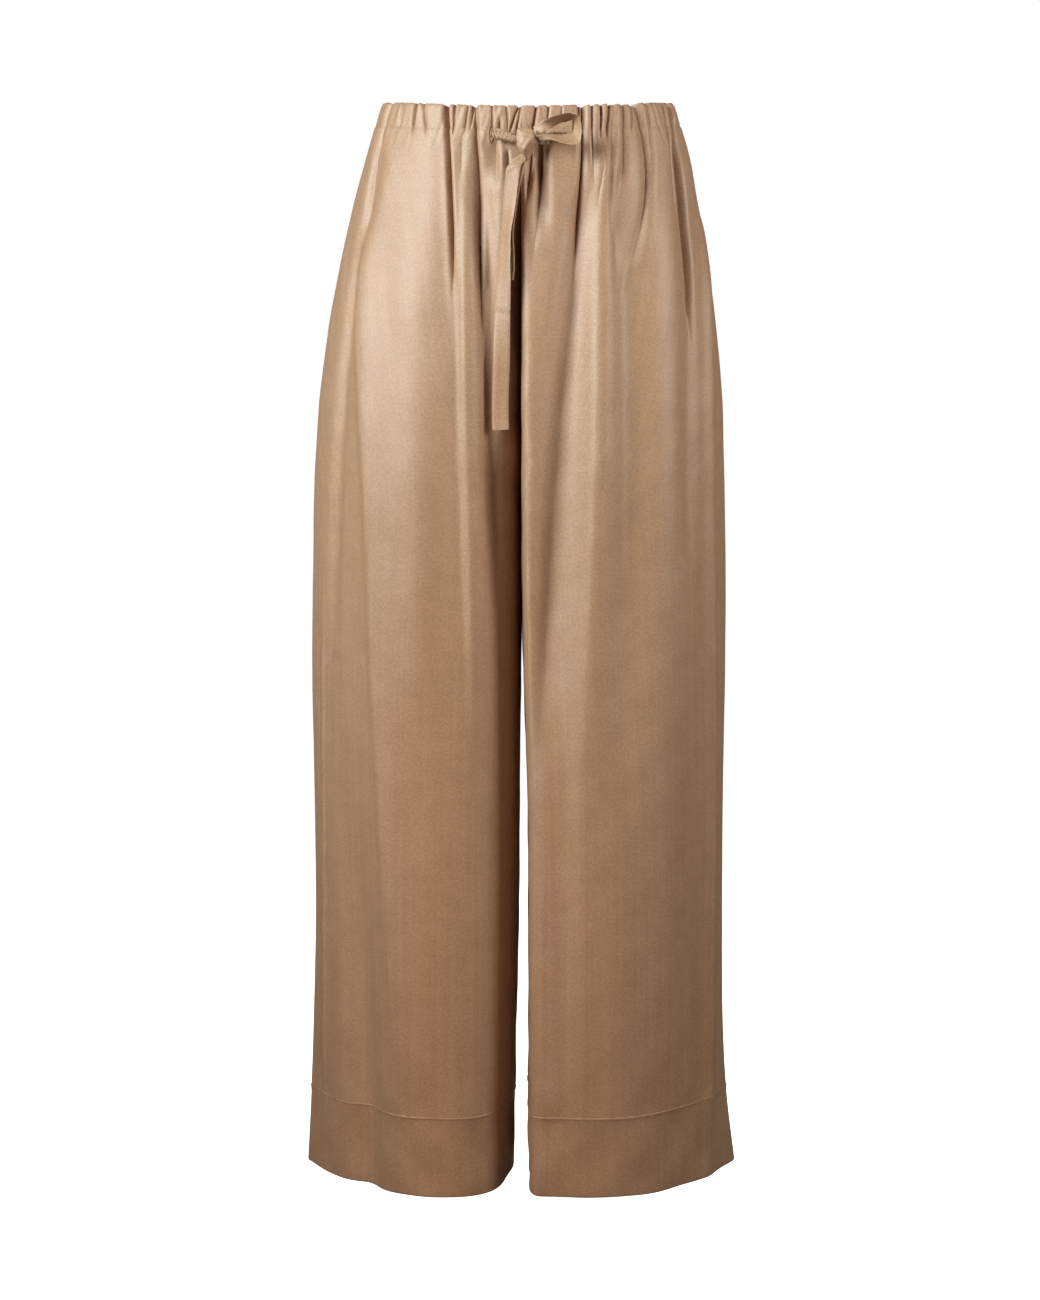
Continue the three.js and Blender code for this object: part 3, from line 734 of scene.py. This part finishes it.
# Outline of the strip, from one edge over its face and back under, in shares of its half sizes.
def stripOutline(count=9):
    across = np.linspace(-1, 1, count)
    swell = (1 - np.abs(across) ** tie["roundness"]) ** 0.5
    top = np.stack([across, swell], axis=1)
    bottom = np.stack([across[::-1][1:-1], -swell[::-1][1:-1]], axis=1)
    return np.vstack([top, bottom])


# Middle points, width directions and half widths of a strip, from its route or its two edges.
def routeFrames(route, steps):
    dense = denseRoute(route, steps)
    centres = dense[:, :3]
    directions = []
    for run, (turn, lean, _) in zip(np.gradient(centres, axis=0), dense[:, 3:]):
        across = Matrix.Rotation(math.radians(-turn), 3, "Z") @ (
            Matrix.Rotation(math.radians(-lean), 3, "Y") @ Vector((1, 0, 0))
        )
        run = Vector(run).normalized()
        directions.append(np.array((across - run * across.dot(run)).normalized()))
    return centres, np.array(directions), tie["width"] * dense[:, 5] / 2


def edgeFrames(edges, steps):
    dense = denseRoute(edges, steps)
    outer, inner = dense[:, :3], dense[:, 3:]
    halves = np.linalg.norm(outer - inner, axis=1) / 2
    return (outer + inner) / 2, (outer - inner) / (2 * halves[:, None]), halves


def strip(name, frames, cup=tie["cup"], ruche=0.0, creases=(), outlineCount=9):
    centres, directions, halves = frames
    runs = np.gradient(centres, axis=0)
    lengths = np.append(0, np.cumsum(np.linalg.norm(np.diff(centres, axis=0), axis=1)))
    outline = stripOutline(outlineCount)
    rings, uvs = [], []
    for centre, run, across, half, place in zip(centres, runs, directions, halves, lengths):
        up = np.cross(run, across)
        up /= np.linalg.norm(up)
        thick = tie["thickness"] / 2
        fading = ruche * (0.25 + math.exp(-place / 9))
        for u, v in outline:
            edge = tie["edgeWave"] * math.sin(place * 1.05 + 2.2 * u) * abs(u) ** 3
            gather = fading * math.sin(place * 2.6 + 2.5 * u) * math.cos(place * 0.9 + 3.1 * u)
            groove = -1.1 * ruche * math.exp(-(((u - 0.15) / 0.3) ** 2))
            dent = 0
            for at, height, lean in creases:
                dent += height * math.exp(-(((place - at - lean * u) / tie["creaseWidth"]) ** 2))
            lift = v * thick + cup * (u * u - 0.4) + edge + gather + groove + dent
            rings.append(centre + across * half * u + up * lift)
            uvs.append((half * u, place))
    points = np.array(rings).reshape(len(centres), len(outline), 3)
    piece = tubeMesh(name, points, np.array(uvs).reshape(len(centres), len(outline), 2))
    return piece, centres, lengths[-1]


# A closed tube through rings, with a cap at each end.
def tubeMesh(name, rings, uvs):
    count, sides = rings.shape[:2]
    index = np.arange(count * sides).reshape(count, sides)
    after = np.roll(index, -1, axis=1)
    faces = np.stack([index[:-1], after[:-1], after[1:], index[1:]], axis=-1).reshape(-1, 4).tolist()
    faces.append(index[0][::-1].tolist())
    faces.append(index[-1].tolist())
    piece = makePiece(name, rings, faces, uvs)
    makeActive(piece)
    bpy.ops.object.mode_set(mode="EDIT")
    bpy.ops.mesh.select_all(action="SELECT")
    bpy.ops.mesh.normals_make_consistent(inside=False)
    bpy.ops.object.mode_set(mode="OBJECT")
    bpy.ops.object.shade_smooth_by_angle(angle=math.radians(60))
    return piece


def addFreeEnd(name, route, node, creases=()):
    piece, centres, length = strip(name, routeFrames(route, tie["steps"]), creases=creases)
    finishPiece(piece, tieFinish, [node])
    tuple(centres[0] * mm)
    round(length * mm, 3)
    (centres * mm).tolist()
    return length


# Creases across the ends: place along the end, height, and lean.
longCreases = (
    (7, -1.6, -5), (12, 0.9, -6), (80, 0.3, 1), (140, 0.5, 1.5), (144, -0.8, 1.5), (166, -0.3, -2),
    (239, -0.5, 0),
)
longLength = addFreeEnd("tieLongEnd", longEndRoute, "tie_long_end", longCreases)
shortLength = addFreeEnd("tieShortEnd", shortEndRoute, "tie_short_end", ((102, -0.3, 0),))
print("tie ends", round(longLength), round(shortLength))


# Leg panels
panel = {
    "wall": 0.8,
    "gatherStep": 1.5,  # between rows of the gathered part
    "plainRows": 128,
    "tucked": 0.4,  # how far the top of the panel lies in under the casing
    "cutWidth": 0.335,
    "cutLength": 0.93,
}


def panelLevels():
    gathered = np.arange(casingFoot + 1, gatherEnd, -panel["gatherStep"])
    plain = np.linspace(gatherEnd, hemSeam - 0.6, panel["plainRows"])
    return np.concatenate([gathered, plain])


def addPanel(leg, face):
    rows = [clothRow(leg, face, z) for z in panelLevels()]
    topShare = [smoothStep(casingFoot - 0.4, casingFoot + 1, z) for z in panelLevels()]
    under = [-panel["tucked"] * share for share in topShare]
    points = np.array([rowPoints(row, out) for row, out in zip(rows, under)])
    uvs = np.array([np.stack([row["length"], row["z"]], axis=1) for row in rows])
    flip = (leg == "left") == (face == "front")
    piece = gridMesh(leg + face.title() + "Panel", points, uvs, flip)
    applyModifier(piece, "SOLIDIFY", thickness=panel["wall"] * mm, offset=-1, use_even_offset=False)
    bpy.ops.object.shade_smooth_by_angle(angle=math.radians(70))
    finishPiece(piece, clothFinish, [f"{leg}_{face}_panel"])


for legName in ("right", "left"):
    for faceName in ("front", "back"):
        addPanel(legName, faceName)
print("leg panels made")

# Hem bands: doubled cloth, turned under at the lower edge, with a ridge along the seam.
hem = {
    "profile": [  # level, and how far out
        (hemSeam + 0.9, -0.5), (hemSeam + 0.8, 0), (hemSeam + 0.2, 0.7), (hemSeam - 0.6, 1.35),
        (hemSeam - 1.3, 1.35), (hemSeam - 2.6, 0.9), (hemSeam - 7, 0.5), (hemSeam - 45, 0.4),
        (hemEdge + 16, 0.4), (hemEdge + 6, 0.45), (hemEdge + 2, 0.4), (hemEdge + 0.6, 0.2),
        (hemEdge, -0.3), (hemEdge, -0.9), (hemEdge + 0.6, -1.4), (hemEdge + 4, -1.6),
        (hemEdge + 30, -1.6), (hemSeam - 20, -1.6), (hemSeam - 3, -1.6), (hemSeam, -1.2),
    ],
    "steps": 3,
    "pucker": 0.22,
    "cutWidth": 0.34,
    "cutLength": 0.078,
}


def denseProfile(profile, steps):
    places = np.arange((len(profile) - 1) * steps + 1) / steps
    levels = np.interp(places, np.arange(len(profile)), [p[0] for p in profile])
    outs = np.interp(places, np.arange(len(profile)), [p[1] for p in profile])
    return list(zip(levels, outs))


def addHem(leg, face):
    points, uvs, run = [], [], 0.0
    profile = denseProfile(hem["profile"], hem["steps"])
    for i, (z, out) in enumerate(profile):
        row = clothRow(leg, face, z)
        near = math.exp(-abs(z - hemSeam) / 8)
        pucker = np.sin(row["length"] * 0.62 + 1.7 * np.sin(row["length"] * 0.11))
        points.append(rowPoints(row, out + hem["pucker"] * near * pucker))
        if i:
            run += math.hypot(z - profile[i - 1][0], out - profile[i - 1][1])
        uvs.append(np.stack([row["length"], np.full(len(row["length"]), -run)], axis=1))
    flip = (leg == "left") == (face == "front")
    name = leg + face.title() + "Hem"
    piece = gridMesh(name, np.array(points), np.array(uvs), flip, closed=True)
    finishPiece(piece, clothFinish, [f"{leg}_{face}_hem"])


for legName in ("right", "left"):
    for faceName in ("front", "back"):
        addHem(legName, faceName)
print("hem bands made")

# The casing: cloth over the elastic, gathered, turned over at the top edge.
casing = {
    "profile": [
        (casingFoot - 1.6, -0.5), (casingFoot - 0.8, -0.1), (casingFoot, 0), (casingFoot + 1, 0.1),
        (casingFoot + 3, 0.2), (casingFoot + 6, 0.4), (-2, 0.5), (3, 0.5), (7, 0.4),
        (casingTop - 2, 0.1), (casingTop - 0.6, -0.4), (casingTop, -1.0), (casingTop + 0.1, -1.8),
        (casingTop - 0.6, -2.6), (casingTop - 3, -2.9), (2, -3), (-5, -3), (casingFoot, -2.6),
    ],
    "steps": 2,
    "fine": 2,  # columns of the casing to one of the panels
    "crimp": 0.4,  # how uneven the top edge is
    "cutWidth": 0.42,
    "cutLength": 0.026,
}


def addCasing(face):
    points, uvs, run = [], [], 0.0
    profile = denseProfile(casing["profile"], casing["steps"])
    for i, (z, out) in enumerate(profile):
        if i:
            run += math.hypot(z - profile[i - 1][0], out - profile[i - 1][1])
        line, lengths = [], []
        for leg in ("right", "left"):
            row = clothRow(leg, face, min(z, casingTop), casing["fine"])
            dent = casing["crimp"] * smoothStep(4, casingTop, z) * (row["rise"] - cloth["gathered"])
            part = rowPoints(row, out, max(0, z - casingTop) + dent)
            sign = -1 if leg == "right" else 1
            order = slice(None, None, sign)
            trim = slice(0, -1) if leg == "right" else slice(None)
            line.append(part[order][trim])
            lengths.append((sign * row["length"])[order][trim])
        points.append(np.vstack(line))
        along = np.concatenate(lengths)
        uvs.append(np.stack([along, np.full(len(along), run)], axis=1))
    name = "waistCasing" + face.title()
    piece = gridMesh(name, np.array(points), np.array(uvs), face == "back", closed=True)
    finishPiece(piece, clothFinish, [f"waist_casing_{face}"])


for faceName in ("front", "back"):
    addCasing(faceName)
print("casing made")

# The ruched leads, the loop and the knot
bow = {
    "leadRuche": 1.1, "leadCup": -1.6, "leadSteps": 16, "loopSteps": 12, "loopCup": 0.7, "outline": 15,
}
for legName in ("right", "left"):
    lead, _, _ = strip(
        "tieLead" + legName.title(), routeFrames(leadRoutes[legName], bow["leadSteps"]),
        cup=bow["leadCup"], ruche=bow["leadRuche"], outlineCount=bow["outline"],
    )
    finishPiece(lead, tieFinish, [f"tie_lead_{legName}"])
loop, _, _ = strip(
    "tieLoop", edgeFrames(loopEdges, bow["loopSteps"]),
    cup=bow["loopCup"], outlineCount=bow["outline"],
)
finishPiece(loop, tieFinish, ["tie_loop"])

# The knot's outline from the front, and the slanting edge where its wrap turns under.
knot = {
    "centre": (4.2, -114.5, -30),
    "depth": 7.0,
    "outline": [
        (-4.4, -17.6), (1.5, -16.6), (8.6, -17.6), (11.6, -23), (14.6, -29.5), (11.6, -36),
        (8, -41), (3.6, -43.4), (0.4, -40), (-3.4, -36), (-5, -29), (-5, -22),
    ],
    "edge": ((9.8, -24.5), (0.4, -39)),
    "slopes": (0.22, 1.15),
    "slopeLimit": 9,
    "crease": (-3.2, 0.6, 1.2),  # place beside the edge, depth and width
    "ripple": 0.15,
    "fullness": 0.8,  # below 1 the knot is fuller towards its rim
    "uvSize": 0.04,
}


def addKnot():
    bpy.ops.object.select_all(action="DESELECT")
    bpy.ops.mesh.primitive_uv_sphere_add(segments=72, ring_count=48, radius=1)
    piece = bpy.context.object
    piece.name = "tieKnot"
    cx, cy, cz = knot["centre"]
    offsets = np.array([(x - cx, z - cz) for x, z in knot["outline"]])
    angles = np.arctan2(offsets[:, 1], offsets[:, 0])
    radii = np.hypot(offsets[:, 0], offsets[:, 1])
    order = np.argsort(angles)
    (ax, az), (bx, bz) = knot["edge"]
    size = math.hypot(bx - ax, bz - az)
    nx, nz = -(bz - az) / size, (bx - ax) / size
    at, creaseDepth, creaseWidth = knot["crease"]
    for vertex in piece.data.vertices:
        x, y, z = vertex.co
        flat = math.hypot(x, z)
        reach = np.interp(math.atan2(z, x), angles[order], radii[order], period=2 * math.pi)
        px = cx + x / max(flat, 1e-6) * reach * flat ** knot["fullness"]
        pz = cz + z / max(flat, 1e-6) * reach * flat ** knot["fullness"]
        beside = (px - ax) * nx + (pz - az) * nz
        slope = knot["slopes"][0] * max(0, -beside) + knot["slopes"][1] * max(0, beside)
        dent = creaseDepth * math.exp(-(((beside - at) / creaseWidth) ** 2))
        ripple = knot["ripple"] * math.sin(pz * 1.3 + px * 0.5)
        front = max(0, -y)
        py = cy + y * knot["depth"] + front * min(slope + dent + ripple, knot["slopeLimit"])
        vertex.co = Vector((px, py, pz)) * mm
    layer = piece.data.uv_layers[0]
    layer.name = "cloth"
    for corner in layer.data:
        corner.uv = corner.uv * knot["uvSize"]
    piece.data.shade_smooth()
    return finishPiece(piece, tieFinish, ["tie_knot"])


addKnot()
print("bow made")

# Worked buttonholes: an oval rim of thread stitches that lies on the front.
buttonhole = {
    "place": {"right": (-28.4, -21.5), "left": (40, -25)},
    "half": {"right": (2.0, 7.2), "left": (2.0, 5.5)},
    "rim": 0.7,
    "stitches": 30,
    "stitchHeight": 0.3,
    "ringRadius": 0.25,  # of the ring before it is shaped
    "out": 0.5,  # the rim's middle from the cloth, along its normal
    "forward": 0.4,  # and straight to the front
}


def frontPoint(x, z, out):
    leg = "right" if x < 0 else "left"
    row = clothRow(leg, "front", z + waistDip)
    points = rowPoints(row, out)
    order = np.argsort(points[:, 0])
    return np.interp(x, points[order, 0], points[order, 1])


def addButtonhole(leg):
    bpy.ops.object.select_all(action="DESELECT")
    bpy.ops.mesh.primitive_torus_add(
        major_segments=buttonhole["stitches"] * 4,
        minor_segments=10,
        major_radius=1,
        minor_radius=buttonhole["ringRadius"],
    )
    piece = bpy.context.object
    piece.name = "buttonhole" + leg.title()
    halfX, halfZ = buttonhole["half"][leg]
    across, level = buttonhole["place"][leg]
    depths = {}
    for vertex in piece.data.vertices:
        x, y, z = vertex.co
        angle = math.atan2(y, x)
        outward = math.hypot(x, y) - 1
        bump = 1 + buttonhole["stitchHeight"] * abs(math.sin(angle * buttonhole["stitches"] / 2))
        thread = buttonhole["rim"] * bump / buttonhole["ringRadius"]
        reach = outward * thread
        px = across + math.cos(angle) * (halfX + reach)
        pz = level + math.sin(angle) * (halfZ + reach)
        key = (round(px, 1), round(pz, 1))
        if key not in depths:
            depths[key] = frontPoint(key[0], key[1], buttonhole["out"])
        py = depths[key] - z * thread - buttonhole["forward"]
        vertex.co = Vector((px, py, pz)) * mm
    piece.data.shade_smooth()
    return finishPiece(piece, threadMaterial, [f"buttonhole_{leg}"])


for legName in ("right", "left"):
    addButtonhole(legName)
print("buttonholes made")

# Studio: a pale floor in a white surround, a soft key on the upper left, lights on the right
# and behind, and a little warm light on the lower legs.
studio = {
    "floor": -1.07,
    "floorGlow": 0.97,
    "lights": [
        {
            "name": "keyLight", "place": (-1.62, -1.37, 0.7), "aim": (-0.02, -0.1, 0.13),
            "size": 1.3, "power": 14.8, "spread": 68, "colour": (0.95, 1.05, 1.09),
        },
        {
            "name": "sideLight", "place": (2.2, -1.0, 0.5), "aim": (0.1, 0, 0.05),
            "size": 1.0, "power": 10.5, "spread": 84, "colour": (1.0, 0.97, 0.9),
        },
        {
            "name": "warmLight", "place": (-0.9, -1.9, -0.8), "aim": (-0.25, 0, -1.05),
            "size": 1.0, "power": 1.6, "spread": 64, "colour": (1.0, 0.5, 0.17),
        },
        {
            "name": "backLight", "place": (0.2, 2.4, 0.7), "aim": (0, 0.1, -0.3),
            "size": 1.0, "power": 20, "spread": 90, "colour": (0.97, 1.02, 1.05),
        },
    ],
    "surround": 0.05,  # how strongly the white surround lights the cloth
}


def addLight(light):
    bpy.ops.object.light_add(type="AREA", location=light["place"])
    lamp = bpy.context.object
    lamp.name = light["name"]
    lamp.data.shape = "SQUARE"
    lamp.data.size = light["size"]
    lamp.data.energy = light["power"]
    lamp.data.color = light["colour"]
    lamp.data.spread = math.radians(light["spread"])
    direction = Vector(light["aim"]) - Vector(light["place"])
    lamp.rotation_euler = direction.to_track_quat("-Z", "Y").to_euler()
    lamp.visible_camera = False


def addFloor():
    finish = Finish(bpy.data.materials.new("paleFloor"))
    place = finish.add("ShaderNodeTexCoord", None, None, 3)
    grain = finish.add("ShaderNodeTexNoise", None, {"Vector": place, "Scale": 60.0})
    colour = finish.mixColour(grain, (0.78, 0.78, 0.78, 1), (0.84, 0.84, 0.84, 1))
    shader = finish.add(
        "ShaderNodeBsdfPrincipled",
        None,
        {
            "Base Color": colour,
            "Roughness": 0.9,
            "Emission Color": (1, 1, 1, 1),
            "Emission Strength": studio["floorGlow"],
        },
    )
    bpy.ops.object.select_all(action="DESELECT")
    bpy.ops.mesh.primitive_plane_add(size=40, location=(0, 0, studio["floor"]))
    floor = bpy.context.object
    floor.name = "paleFloor"
    floor.data.materials.append(finish.close(shader))
    floor.visible_diffuse = False
    floor.visible_glossy = False


# White to the eye, and only a dim light from all round on the cloth.
def addSurround():
    world = bpy.data.worlds.new("whiteSurround")
    finish = Finish(world)
    seen = finish.add("ShaderNodeLightPath")
    strength = seen * (1 - studio["surround"]) + studio["surround"]
    background = finish.add(
        "ShaderNodeBackground", None, {"Color": (1, 1, 1, 1), "Strength": strength}
    )
    finish.add("ShaderNodeOutputWorld", None, {"Surface": background})
    bpy.context.scene.world = world


for lightPlan in studio["lights"]:
    addLight(lightPlan)
addFloor()
addSurround()
print("studio lit")
